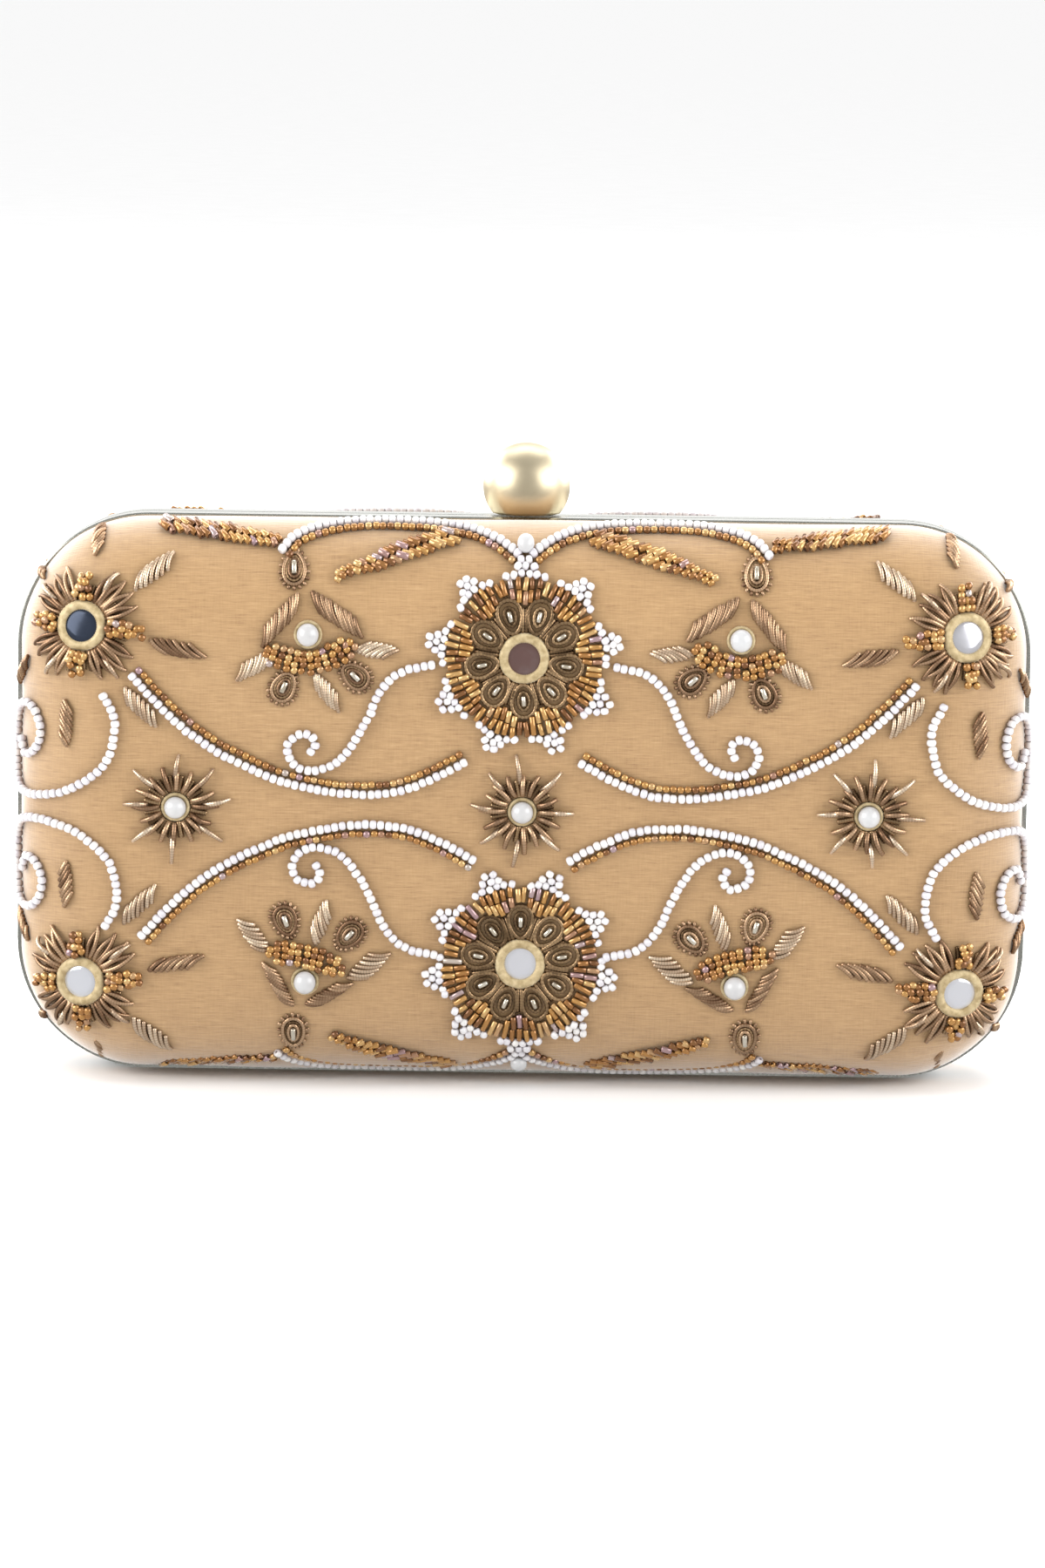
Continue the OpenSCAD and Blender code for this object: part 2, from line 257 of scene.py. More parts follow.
class Pile:
    """Loose solids of one kind, all quads, gathered into one mesh. A point's tone below 1 is painted shade,
    and on the mirrors the tone picks a painted reflection.
    """

    def __init__(self):
        self.points, self.quads, self.tones, self.count = [], [], [], 0

    def add(self, points, quads, tone=1.0):
        self.tones.append(np.broadcast_to(tone, len(points)))
        self.points.append(points)
        self.quads.append(quads + self.count)
        self.count += len(points)

    def build(self, name, material, tray, turn):
        points = tray.bend(np.concatenate(self.points), turn, PRESSED)
        quads = np.concatenate(self.quads).astype(np.int32)
        mesh = bpy.data.meshes.new(name)
        mesh.vertices.add(len(points))
        mesh.vertices.foreach_set("co", points.ravel())
        mesh.loops.add(quads.size)
        mesh.loops.foreach_set("vertex_index", quads.ravel())
        mesh.polygons.add(len(quads))
        mesh.polygons.foreach_set("loop_start", np.arange(0, quads.size, 4, dtype=np.int32))
        mesh.polygons.foreach_set("use_smooth", np.ones(len(quads), bool))
        mesh.update(calc_edges=True)
        tone = mesh.attributes.new("tone", "FLOAT", "POINT")
        tone.data.foreach_set("value", np.concatenate(self.tones))
        return show_mesh(name, mesh, material)


def tube_quads(rings, sides, closed):
    """Quads between rings of points, an even number in each, and over both ends unless the tube is closed
    on itself."""
    quads = []
    for k in range(rings if closed else rings - 1):
        for j in range(sides):
            n = (j + 1) % sides
            a, b = k * sides, (k + 1) % rings * sides
            quads.append((a + j, a + n, b + n, b + j))
    if not closed:
        last = (rings - 1) * sides
        for j in range(1, sides - 2, 2):
            quads.append((0, j + 2, j + 1, j))
            quads.append((last, last + j, last + j + 1, last + j + 2))
    return np.array(quads)


def tube_points(path, along, up, radii, sides):
    """A ring of points round each point of a path. along is the path's way there, and the rings' first
    points lie square to up."""
    along = along / np.linalg.norm(along, axis=1)[:, None]
    side = np.cross(along, up)
    side /= np.linalg.norm(side, axis=1)[:, None]
    over = np.cross(side, along)
    c, s = np.cos(turns_of(sides))[:, None], np.sin(turns_of(sides))[:, None]
    rings = side[:, None, :] * c + over[:, None, :] * s
    return (path[:, None, :] + rings * radii[:, None, None]).reshape(-1, 3)


def turned(profile, sides):
    """A closed profile of (along, radius) turned about the u axis: a bead with its hole."""
    points = [
        (t, r * math.cos(2 * math.pi * j / sides), r * math.sin(2 * math.pi * j / sides))
        for t, r in profile
        for j in range(sides)
    ]
    return np.array(points), tube_quads(len(profile), sides, True)


# A round seed bead and a tube bead, each 1 long and 1 in radius
SEED_PROFILE = [
    (-0.48, 0.42), (-0.43, 0.68), (-0.27, 0.92), (0, 1), (0.27, 0.92), (0.43, 0.68), (0.48, 0.42),
    (0.3, 0.28), (-0.3, 0.28),
]
BUGLE_PROFILE = [(-0.5, 0.7), (-0.46, 0.98), (0.46, 0.98), (0.5, 0.7), (0.45, 0.42), (-0.45, 0.42)]
SEED = turned(SEED_PROFILE, 10)
BUGLE = turned(BUGLE_PROFILE, 8)


# How high the middle of a bead or a pearl stands over the silk, as a share of its radius
PERCH = 0.93


def lay_beads(pile, shape, spots, length, radius, lift=0.0):
    """One bead at each spot, (u, v, angle), with its hole along the angle. It's painted darkest beside the
    silk, as shade.
    """
    points, quads = shape
    for u, v, angle in spots:
        size = 1 + jitter(0.05)
        local = points * (length, radius * size, radius * size)
        angle = angle + jitter(0.07)
        c, s = math.cos(angle), math.sin(angle)
        along, side, high = local.T
        placed = np.column_stack(
            [u + c * along - s * side, v + s * along + c * side, high + radius * PERCH + lift]
        )
        # Painted shade: the tone falls from the bead's top to its underside
        pile.add(placed, quads, 0.5 + 0.5 * high / radius)


# --- Paths on the panel ---------------------------------------------------------------------------


def curve_through(points, step):
    """Points at an even step along a smooth curve through the given ones."""
    p = np.array(points, float)
    p = np.vstack([2 * p[0] - p[1], p, 2 * p[-1] - p[-2]])
    dense = []
    for a, b, c, d in zip(p[:-3], p[1:-2], p[2:-1], p[3:]):
        for t in np.linspace(0, 1, 24, endpoint=False):
            square = (2 * a - 5 * b + 4 * c - d) * t**2
            cube = (3 * b - a - 3 * c + d) * t**3
            dense.append(0.5 * (2 * b + (c - a) * t + square + cube))
    dense = np.array(dense + [p[-2]])
    run = length_along(dense)
    count = max(2, int(round(run[-1] / step)) + 1)
    return spread(dense, run, np.linspace(0, run[-1], count))


def headings(path):
    along = np.gradient(path, axis=0)
    return np.arctan2(along[:, 1], along[:, 0])


def beside(path, distance):
    """The path moved to its left by distance."""
    a = headings(path)
    return path + distance * np.column_stack([-np.sin(a), np.cos(a)])


def bead_line(pile, points, pitch, radius, aside=0.0):
    path = curve_through(points, pitch)
    if aside:
        path = curve_through(beside(path, aside), pitch)
    spots = np.column_stack([path + rng.normal(0, 0.05, path.shape), headings(path)])
    lay_beads(pile, SEED, spots, pitch * 1.02, radius)


# --- Metal coils ----------------------------------------------------------------------------------

COIL_SIDES = 6
# A ridge of fine wire to each of these lengths, and of a line of tiny beads
COIL_PITCH = 0.5
BEAD_PITCH = 0.72
# How deep the grooves are cut into a coil's radius
FINE_RIDGE, BEAD_RIDGE = 0.16, 0.26


def coil(pile, path, radius, closed=False, pitch=COIL_PITCH, taper=0.0):
    """Wound metal thread along a path of (u, v, h), ridged once a turn. taper thins its far end."""
    path = np.asarray(path, float)
    if closed:
        path = np.vstack([path, path[:1]])
    run = length_along(path)
    turns = max(3, int(round(run[-1] / pitch)))
    count = 2 * turns + (0 if closed else 1)
    centre = spread(path, run, np.linspace(0, run[-1], 2 * turns + 1)[:count])
    if closed:
        along = np.roll(centre, -1, axis=0) - np.roll(centre, 1, axis=0)
    else:
        along = np.gradient(centre, axis=0)
    ridge = FINE_RIDGE if pitch <= COIL_PITCH else BEAD_RIDGE
    in_groove = np.arange(count) % 2 == 0
    swell = np.where(in_groove, 1 - ridge, 1.04) * radius
    swell *= 1 - taper * smooth_step(np.linspace(-0.4, 1, count))
    if not closed:
        swell[0], swell[-1] = 0.45 * swell[0], 0.45 * swell[-1]
    points = tube_points(centre, along, (0, 0, 1.0), swell, COIL_SIDES)
    # Painted shade: the tone is lower in the grooves and on the underside beside the silk
    tone = np.where(in_groove, 0.72, 1.0)[:, None] * (0.5 + 0.5 * np.sin(turns_of(COIL_SIDES)))[None, :]
    pile.add(points, tube_quads(count, COIL_SIDES, closed), tone.ravel())


def strand(pile, start, end, radius, lift, bow=0.0, taper=0.0):
    """A short coil sewn down at both ends: it arches a little off the silk, and may bow to its left."""
    start, end = np.array(start, float), np.array(end, float)
    span = end - start
    left = np.array([-span[1], span[0]])
    t = np.linspace(0, 1, 9)
    flat = start + t[:, None] * span + bow * (4 * t * (1 - t))[:, None] * left
    high = radius * 0.55 + lift * np.sin(math.pi * t) ** 0.8
    coil(pile, np.column_stack([flat, high]), radius, taper=taper)


def toward(origin, angle, distance):
    return np.array([origin[0] + distance * math.cos(angle), origin[1] + distance * math.sin(angle)])


def leaf(pile, root, tip, slant, count, radius, share):
    """Strands side by side, all turned by slant from the line root to tip: the first starts at the root,
    and the last ends at the tip. share is a strand's part of the leaf's length."""
    root, tip = np.array(root, float), np.array(tip, float)
    length = np.linalg.norm(tip - root)
    heading = math.atan2(tip[1] - root[1], tip[0] - root[0])
    lay = toward((0, 0), heading + slant, share * length)
    for k in range(count):
        t = k / (count - 1)
        start = root + t * (tip - root - lay)
        late = 0.3 * t**2 + rng.uniform(0.0, 0.06)
        early = 0.3 * (1 - t) ** 2 + rng.uniform(0.0, 0.06)
        bow = 0.06 * math.copysign(1.0, slant) + jitter(0.03)
        lift = rng.uniform(0.4, 0.8)
        strand(pile, start + lay * late, start + lay * (1 - early), radius, lift, bow, 0.08)


def oval_path(centre, angle, long, wide, point, high, count=28):
    """A closed oval, long along the angle, at a height over the silk. point draws in its far end, or its
    near one when it is negative, as a teardrop's."""
    t = turns_of(count)
    along = long / 2 * np.cos(t)
    across = wide / 2 * np.sin(t) * (1 + point * np.cos(t))
    c, s = math.cos(angle), math.sin(angle)
    return np.column_stack(
        [centre[0] + c * along - s * across, centre[1] + s * along + c * across, np.full(count, high)]
    )


# --- Materials ------------------------------------------------------------------------------------


class Look:
    """A material in the making. Its patterns lie on the flat panel, or else in the piece's own space."""

    def __init__(self, name, on_panel=False, **sockets):
        self.material = bpy.data.materials.new(name)
        self.material.use_nodes = True
        self.tree = self.material.node_tree
        self.shader = self.tree.nodes["Principled BSDF"]
        self.set(**sockets)
        if on_panel:
            panel = self.node("ShaderNodeUVMap")
            panel.uv_map = "panel"
            self.where = panel.outputs["UV"]
        else:
            self.where = self.node("ShaderNodeTexCoord").outputs["Object"]

    def feed(self, socket, value):
        if isinstance(value, bpy.types.NodeSocket):
            self.tree.links.new(value, socket)
        else:
            socket.default_value = value

    def set(self, **sockets):
        """Gives each of these sockets of the shader a value, or another node's output."""
        for name, value in sockets.items():
            self.feed(self.shader.inputs[name.replace("_", " ").title()], value)

    def node(self, kind, **sockets):
        made = self.tree.nodes.new(kind)
        for name, value in sockets.items():
            self.feed(made.inputs[name], value)
        return made

    def noise(self, scale, detail=2.0, roughness=0.5):
        """Noise of one scale, or with a scale for each axis."""
        where = self.where
        if isinstance(scale, tuple):
            where = self.node("ShaderNodeMapping", Vector=where, Scale=scale).outputs["Vector"]
            scale = 1.0
        sockets = {"Vector": where, "Scale": scale, "Detail": detail, "Roughness": roughness}
        return self.node("ShaderNodeTexNoise", **sockets).outputs["Fac"]

    def ramp(self, factor, stops):
        made = self.node("ShaderNodeValToRGB", Fac=factor)
        elements = made.color_ramp.elements
        while len(elements) < len(stops):
            elements.new(0.5)
        for element, (place, colour) in zip(elements, stops):
            element.position = place
            element.color = (*colour, 1)
        return made.outputs["Color"]

    def maths(self, operation, first, second):
        made = self.node("ShaderNodeMath")
        made.operation = operation
        self.feed(made.inputs[0], first)
        self.feed(made.inputs[1], second)
        return made.outputs[0]

    def blend(self, *parts):
        """The sum of grey patterns, each given with its share."""
        total = None
        for pattern, share in parts:
            part = pattern if share == 1 else self.maths("MULTIPLY", pattern, share)
            total = part if total is None else self.maths("ADD", total, part)
        return total

    def bump(self, height, distance, strength):
        made = self.node("ShaderNodeBump", Height=height, Distance=distance, Strength=strength)
        self.set(normal=made.outputs["Normal"])

    # The tone attribute: painted shade on coils and beads, and the painted reflection on the mirrors
    def tone(self):
        made = self.node("ShaderNodeAttribute")
        made.attribute_name = "tone"
        return made.outputs["Fac"]

    def own_number(self):
        """A number that differs from one bead or coil to the next."""
        return self.node("ShaderNodeNewGeometry").outputs["Random Per Island"]

    def with_painted_shade(self, colour, stops):
        """The colour, with painted shade where the tone attribute is low: in the grooves and down beside
        the silk.
        """
        made = self.node("ShaderNodeMix")
        made.data_type = "RGBA"
        made.blend_type = "MULTIPLY"
        factor, first, second = made.inputs[0], made.inputs[6], made.inputs[7]
        self.feed(factor, 1.0)
        self.feed(first, colour)
        self.feed(second, self.ramp(self.tone(), stops))
        return made.outputs[2]


def silk_material():
    """Raw silk: a fine horizontal rib with thick and thin threads, a finer warp, and a soft sheen."""
    look = Look("raw_silk", True, roughness=0.5, sheen_weight=1.0, sheen_roughness=0.5)
    slubs = look.noise((70, 1700, 1), 2.0, 0.6)
    ribs = look.noise((260, 3500, 1), 2.0, 0.7)
    warp = look.noise((3000, 260, 1), 1.0)
    cloud = look.noise((22, 30, 1))
    weave = look.blend((slubs, 0.28), (ribs, 0.72))
    shade = look.blend((weave, 0.76), (warp, 0.14), (cloud, 0.1))
    stops = [
        (0.3, (0.246, 0.129, 0.046)),
        (0.44, (0.351, 0.203, 0.081)),
        (0.56, (0.408, 0.245, 0.102)),
        (0.72, (0.476, 0.303, 0.142)),
    ]
    look.set(base_color=look.ramp(shade, stops))
    look.bump(look.blend((weave, 1), (warp, 0.3)), 0.0002, 0.5)
    return look.material


def satin_material():
    """Lining satin: smooth, with a close twill along its width and a faint cloud of tone."""
    look = Look("satin", True, roughness=0.34, sheen_weight=0.3, sheen_roughness=0.3)
    cloud = look.noise((30, 30, 1))
    thread = look.noise((260, 2600, 1))
    tone = look.blend((cloud, 0.4), (thread, 0.6))
    look.set(base_color=look.ramp(tone, [(0.3, (0.35, 0.245, 0.12)), (0.7, (0.44, 0.315, 0.16))]))
    look.bump(look.noise((300, 5200, 1), 1.0), 0.0001, 0.4)
    return look.material


# Painted shade: how much darker a metal coil, and a white bead, is in its grooves and down beside the silk
DEEP_PAINTED_SHADE = [(0.1, (0.20, 0.15, 0.11)), (0.55, (0.60, 0.55, 0.50)), (0.9, (1.0, 1.0, 1.0))]
FAINT_PAINTED_SHADE = [(0.1, (0.46, 0.36, 0.33)), (0.5, (0.82, 0.77, 0.77)), (0.9, (1.0, 1.0, 1.0))]


def coil_material(name, dark, light, roughness):
    """Wound metal thread: each length has its own tone, with tarnish in patches, and painted shade in the
    grooves.
    """
    look = Look(name, metallic=0.8, roughness=roughness)
    tone = look.blend((look.own_number(), 0.65), (look.noise(420), 0.35))
    look.set(base_color=look.with_painted_shade(look.ramp(tone, [(0.12, dark), (0.85, light)]), DEEP_PAINTED_SHADE))
    look.bump(look.noise(5200, 1.0), 0.00005, 0.5)
    return look.material


def lustre_material():
    """Amber glass with a metal lustre: mostly gold and brown, with a few rose and lilac beads."""
    look = Look("amber_lustre", metallic=0.55, coat_weight=0.7, coat_roughness=0.08)
    stops = [
        (0.0, (0.20, 0.08, 0.025)),
        (0.3, (0.42, 0.19, 0.05)),
        (0.6, (0.57, 0.30, 0.085)),
        (0.84, (0.72, 0.46, 0.19)),
        (0.93, (0.42, 0.22, 0.13)),
        (0.975, (0.46, 0.31, 0.34)),
        (1.0, (0.60, 0.52, 0.44)),
    ]
    # Painted shade: darker down beside the silk
    look.set(base_color=look.with_painted_shade(look.ramp(look.own_number(), stops), DEEP_PAINTED_SHADE))
    look.set(roughness=look.ramp(look.noise(900), [(0.3, (0.12,) * 3), (0.7, (0.28,) * 3)]))
    return look.material


def white_bead_material():
    """Opaque glass with a soft gloss: some beads are greyer and some are creamier."""
    look = Look("white_bead", roughness=0.2, coat_weight=0.5, coat_roughness=0.1)
    stops = [(0.0, (0.60, 0.58, 0.61)), (0.5, (0.68, 0.67, 0.68)), (1.0, (0.73, 0.71, 0.68))]
    # Painted shade: darker and warmer down beside the silk
    look.set(base_color=look.with_painted_shade(look.ramp(look.own_number(), stops), FAINT_PAINTED_SHADE))
    look.bump(look.noise(1500, 1.0), 0.00008, 0.4)
    return look.material


def pearl_material():
    """Imitation pearl: a soft clear coat over a faintly clouded white."""
    look = Look("pearl", roughness=0.22, coat_weight=0.6, coat_roughness=0.12)
    stops = [(0.3, (0.46, 0.45, 0.445)), (0.7, (0.54, 0.545, 0.55))]
    look.set(base_color=look.ramp(look.noise(160), stops))
    return look.material


def thread_material():
    """Gilt sewing thread, matt and a little fuzzy."""
    look = Look("gold_thread", metallic=0.25, roughness=0.5, sheen_weight=0.2)
    stops = [(0.3, (0.36, 0.26, 0.12)), (0.7, (0.62, 0.50, 0.29))]
    look.set(base_color=look.ramp(look.noise(900, 3.0), stops))
    look.bump(look.noise(4200, 1.0), 0.0001, 0.6)
    return look.material


def mirror_material():
    """Small mirrors: by their tone, some carry a painted reflection, mauve or slate."""
    look = Look("mirror", metallic=0.6, roughness=0.16)
    # Painted reflections, picked by the tone
    stops = [
        (0.0, (0.74, 0.74, 0.78)),
        (0.25, (0.68, 0.70, 0.75)),
        (0.54, (0.17, 0.10, 0.09)),
        (1.0, (0.035, 0.045, 0.07)),
    ]
    look.set(base_color=look.ramp(look.blend((look.tone(), 1), (look.noise(260), 0.08)), stops))
    return look.material


def metal_material(name, dark, light, roughness, vary, grain, relief):
    """Plated metal: a fine satin grain of the given scale and relief, and a slight change of tone. vary is
    how far its roughness goes up and down with the grain."""
    look = Look(name, metallic=1.0)
    look.set(base_color=look.ramp(look.noise(35), [(0.3, dark), (0.7, light)]))
    lines = look.noise(grain)
    stops = [(0.3, (roughness - vary,) * 3), (0.7, (roughness + vary,) * 3)]
    look.set(roughness=look.ramp(lines, stops))
    look.bump(lines, relief, 0.35)
    return look.material


def plain_material(name, dark, light, roughness, scale):
    """A matt stuff with a mottled, slightly rough face."""
    look = Look(name, roughness=roughness)
    grain = look.noise(scale, 3.0)
    look.set(base_color=look.ramp(grain, [(0.3, dark), (0.7, light)]))
    look.bump(grain, 0.0001, 0.5)
    return look.material


SILK = silk_material()
SATIN = satin_material()
GOLD_COIL = coil_material("gold_coil", (0.26, 0.145, 0.08), (0.74, 0.50, 0.31), 0.3)
PALE_COIL = coil_material("pale_coil", (0.58, 0.40, 0.26), (0.98, 0.80, 0.60), 0.3)
DARK_COIL = coil_material("antique_coil", (0.13, 0.075, 0.035), (0.53, 0.355, 0.195), 0.26)
BAR_METAL = coil_material("bright_bugle", (0.62, 0.54, 0.42), (0.90, 0.84, 0.72), 0.2)
LUSTRE = lustre_material()
WHITE_BEAD = white_bead_material()
PEARL = pearl_material()
THREAD = thread_material()
MIRROR = mirror_material()
SATIN_GRAIN = (1300, 1300, 1300)
BALL_GRAIN = (300, 300, 900)
RIM_METAL = metal_material(
    "nickel_silver", (0.40, 0.41, 0.37), (0.47, 0.47, 0.43), 0.27, 0.035, SATIN_GRAIN, 0.00001
)
PART_METAL = metal_material(
    "nickel_plate", (0.46, 0.46, 0.43), (0.54, 0.53, 0.50), 0.24, 0.035, SATIN_GRAIN, 0.00001
)
BALL_METAL = metal_material(
    "champagne_plate", (0.66, 0.565, 0.39), (0.74, 0.65, 0.46), 0.4, 0.02, BALL_GRAIN, 0.000002
)
BOARD = plain_material("board", (0.30, 0.22, 0.13), (0.42, 0.32, 0.20), 0.8, 700)
WADDING = plain_material("wadding", (0.72, 0.68, 0.60), (0.84, 0.80, 0.73), 0.95, 1200)
FLOOR = plain_material("floor", (0.86, 0.86, 0.86), (0.88, 0.88, 0.88), 0.8, 30)

# The kinds of things that are sewn on
LOOKS = {
    "white_beads": WHITE_BEAD,
    "amber_beads": LUSTRE,
    "bugles": LUSTRE,
    "braids": LUSTRE,
    "bars": BAR_METAL,
    "gold_coils": GOLD_COIL,
    "pale_coils": PALE_COIL,
    "dark_coils": DARK_COIL,
    "leaves": GOLD_COIL,
    "rings": THREAD,
    "glasses": MIRROR,
    "pearl_beads": PEARL,
}

# --- Needlework of one quarter, in millimetres from the middle of a face --------------------------

WHITE_R, WHITE_PITCH = 0.92, 1.48
AMBER_R, AMBER_PITCH = 0.72, 1.42
# How far beside a white line its amber line runs
AMBER_ASIDE = 1.75

LONG_ARC = [
    (76, 25.5), (71.5, 20.5), (65.5, 15), (59.5, 11), (53.5, 8), (47.5, 5.5),
    (41, 4), (33.5, 3), (25, 3.5), (18, 6), (11.5, 9.5),
]
SCROLL = [
    (18, 28.5), (24, 27), (28, 23), (30, 18.5), (33, 13), (36.5, 9), (41, 7.5),
    (44.3, 8.5), (45.9, 11.2), (45.0, 13.7), (42.3, 14.7), (40.4, 13.2), (41.2, 11.2),
]
SIDE_SCROLL = [
    (81.5, 21.5), (79.5, 17.5), (79.5, 13), (81, 8.5), (84.5, 5), (89, 2.5),
    (95.5, 1.2), (101.5, 2), (105, 6), (105.5, 12), (103.5, 17), (99.5, 19),
    (96, 17.5), (94.7, 13.5), (96.3, 10), (99.5, 9), (101.2, 11.5),
]
EDGE_ARC = [
    (1.5, 50), (5, 52.8), (10.5, 55.6), (18, 57.3), (27, 57.6), (35, 56.9), (41, 55.2), (45.3, 52.8),
    (47.3, 50.2),
]
OUTER_BRAID = [(48.5, 52.0), (70, 55.8)]
INNER_BRAID = [(14, 53.6), (36.5, 45.2)]

FLOWER_V = 30
CORNER_U, CORNER_V = 86, 35
MOTIF_U, MOTIF_V = 42, 34
STAR_SPOTS = [(0, 0), (67.5, 0), (-67.5, 0)]

# A big flower: how far out its petals stand, and where its fans of bugles start and end
PETAL_R, FAN_IN, FAN_OUT = 8.3, 10.0, 15.6
# How long and wide the ovals of coil are
PETAL_SIZE, DROP_SIZE, PENDANT_SIZE = (6.4, 4.6), (6.2, 4.4), (6.8, 4.4)
# Leaves: the number of coils, their radius, and a coil's share of the leaf's length
ARCH_COILS, PALE_LEAF_COILS, CORNER_LEAF_COILS = (10, 0.5, 0.52), (7, 0.48, 0.66), (7, 0.5, 0.58)
# How far across each bead of a cluster is, row by row from the flower out
CLUSTER_ROWS = [(-2.45, -1.5, -0.5, 0.5, 1.5, 2.45), (-1.05, 0.0, 1.05), (-0.55, 0.55)]

# Thread rings: inner and outer radius, height and number of stitches
MIRROR_RING = (3.0, 4.95, 1.5, 44)
STAR_RING = (2.0, 2.9, 1.0, 30)
MOTIF_RING = (2.0, 2.8, 0.9, 28)

MIRROR_R, MIRROR_T = 3.3, 0.7
PEARL_R, EDGE_PEARL_R, EDGE_PEARL_V = 2.15, 1.7, 51.5
# Each mirror's place, and the painted reflection its tone picks: 0 is clear, 0.5 is mauve and 1 is slate
MIRRORS = [
    ((0, FLOWER_V), 0.5),
    ((0, -FLOWER_V), 0.0),
    ((CORNER_U, CORNER_V), 0.28),
    ((-CORNER_U, CORNER_V), 1.0),
    ((CORNER_U, -CORNER_V), 0.0),
    ((-CORNER_U, -CORNER_V), 0.1),
]


def mirrored(points, su, sv, du=0.0, dv=0.0):
    """Points of the first quarter, moved by (du, dv) and mirrored into the quarter with signs su and sv."""
    return [(su * (p[0] + du), sv * (p[1] + dv)) for p in points]


def round_solid(pile, spot, levels, sides, tilt=(0, 0), tone=1.0):
    """A solid that stands on the silk, from its heights and radii, with its rings tipped by tilt."""
    rings = []
    for high, r in levels:
        u, v = r * np.cos(turns_of(sides)), r * np.sin(turns_of(sides))
        rings.append(np.column_stack([spot[0] + u, spot[1] + v, high + u * tilt[0] + v * tilt[1]]))
    pile.add(np.concatenate(rings), tube_quads(len(levels), sides, False), tone)


def glass(pile, spot, tone):
    """A small round mirror with a bevelled edge, a little tipped. tone picks its painted reflection."""
    low, bevel = 0.15, 0.2
    top = low + MIRROR_T
    levels = [(low, MIRROR_R), (top - bevel, MIRROR_R), (top, MIRROR_R - bevel)]
    levels += [(top, MIRROR_R * k) for k in (0.6, 0.25)]
    round_solid(pile, spot, levels, 40, (jitter(0.04), jitter(0.04)), tone)


def wound_ring(pile, spot, inner, outer, height, stitches):
    """A ring wound with thread, whose stitches run across it."""
    around, section = stitches * 2, 10
    theta, phi = turns_of(around), turns_of(section)
    swell = np.where(np.arange(around) % 2 == 0, 1.0, 0.9)
    middle, half = (inner + outer) / 2, (outer - inner) / 2
    r = middle + half * swell[:, None] * np.cos(phi)[None, :]
    h = height / 2 + height / 2 * swell[:, None] * np.sin(phi)[None, :]
    u = spot[0] + r * np.cos(theta)[:, None]
    v = spot[1] + r * np.sin(theta)[:, None]
    points = np.stack([u, v, h], axis=2).reshape(-1, 3)
    pile.add(points, tube_quads(around, section, True)[:, ::-1])


def round_pearl(pile, spot, radius):
    """A pearl, sunk a little into the silk."""
    turns = np.linspace(0.06, math.pi - 0.06, 14)
    round_solid(pile, spot, [(radius * (PERCH - math.cos(a)), radius * math.sin(a)) for a in turns], 24)


def oval_petal(work, centre, angle, long, wide):
    """A loop of antique coil round a second one, with a bright bugle in the middle."""
    outer = oval_path(centre, angle, long, wide, 0.22, 0.75)
    inner = oval_path(centre, angle, long * 0.56, wide * 0.46, 0.15, 0.6)
    coil(work["dark_coils"], outer, 0.5, True, BEAD_PITCH)
    coil(work["dark_coils"], inner, 0.42, True, BEAD_PITCH)
    bright_bar(work, centre, angle, 0.3 * long, 0.46)


def bright_bar(work, centre, angle, length, radius):
    """A silver bugle, raised on the coils round it."""
    lay_beads(work["bars"], BUGLE, [(*centre, angle)], length, radius, 0.55)


def big_flower(work, spot, turn):
    """Nine oval petals round a mirror, with fans of bugles and clusters of white beads between them."""
    count = 9
    step = 2 * math.pi / count
    for k in range(count):
        a = turn + k * step
        oval_petal(work, toward(spot, a, PETAL_R), a + jitter(0.08), *PETAL_SIZE)
        away = a + step / 2
        for side in (-0.07, 0.07):
            start, end = toward(spot, away + side, 4.8), toward(spot, away + side * 0.6, 9.8)
            strand(work["dark_coils"], start, end, 0.46, 0.6)
        bugle_fan(work, spot, away, step)
        cluster(work, spot, away, FAN_OUT + 0.45)


def bugle_fan(work, spot, away, width):
    """Seven rays of bugles from between two petals, in two rounds where there is room."""
    rays = 7
    for j in range(rays):
        place = 2 * j / (rays - 1) - 1
        b = away + width * 0.43 * place + jitter(0.01)
        near = FAN_IN + 2.2 * abs(place) ** 1.4
        far = FAN_OUT - 0.3 * abs(place) + jitter(0.3)
        parts = 2 if far - near > 4.0 else 1
        share = (far - near) / parts
        for part in range(parts):
            centre = toward(spot, b, near + (part + 0.5) * share)
            skew = b + jitter(0.12)
            lay_beads(work["bugles"], BUGLE, [(*centre, skew)], share * 0.96, 0.58, rng.uniform(0.1, 0.6))


def cluster(work, spot, angle, radius):
    """White beads in rows of six, three and two, pointing away from a flower."""
    for row, places in enumerate(CLUSTER_ROWS):
        for t in places:
            centre = toward(spot, angle, radius + row * 1.3 - 0.12 * t * t)
            centre = toward(centre, angle + math.pi / 2, t * 1.5) + rng.normal(0, 0.12, 2)
            lift = rng.uniform(0, 0.4)
            lay_beads(work["white_beads"], SEED, [(*centre, rng.uniform(0, math.pi))], 1.42, 0.83, lift)


def star(work, spot):
    """A pearl in a thread ring, on a sunburst of dark coils and gold coils, with eight bright spikes."""
    wound_ring(work["rings"], spot, *STAR_RING)
    rays, spikes = 16, 8
    for k in range(rays):
        a = 2 * math.pi * (k + 0.5) / rays
        strand(work["dark_coils"], toward(spot, a, 2.9), toward(spot, a, 6.3), 0.62, 0.1)
    for k in range(rays):
        a = 2 * math.pi * k / rays + jitter(0.07)
        end = toward(spot, a, rng.uniform(7.0, 8.6))
        bow = jitter(0.08)
        strand(work["gold_coils"], toward(spot, a, 3.2), end, 0.6, rng.uniform(0.8, 1.3), bow, 0.2)
    for k in range(spikes):
        a = 2 * math.pi * k / spikes + jitter(0.12)
        b = a + jitter(0.08)
        start, end = toward(spot, a, 5.6), toward(spot, b, rng.uniform(10.0, 11.4))
        strand(work["pale_coils"], start, end, 0.6, 1.3, jitter(0.05), 0.35)


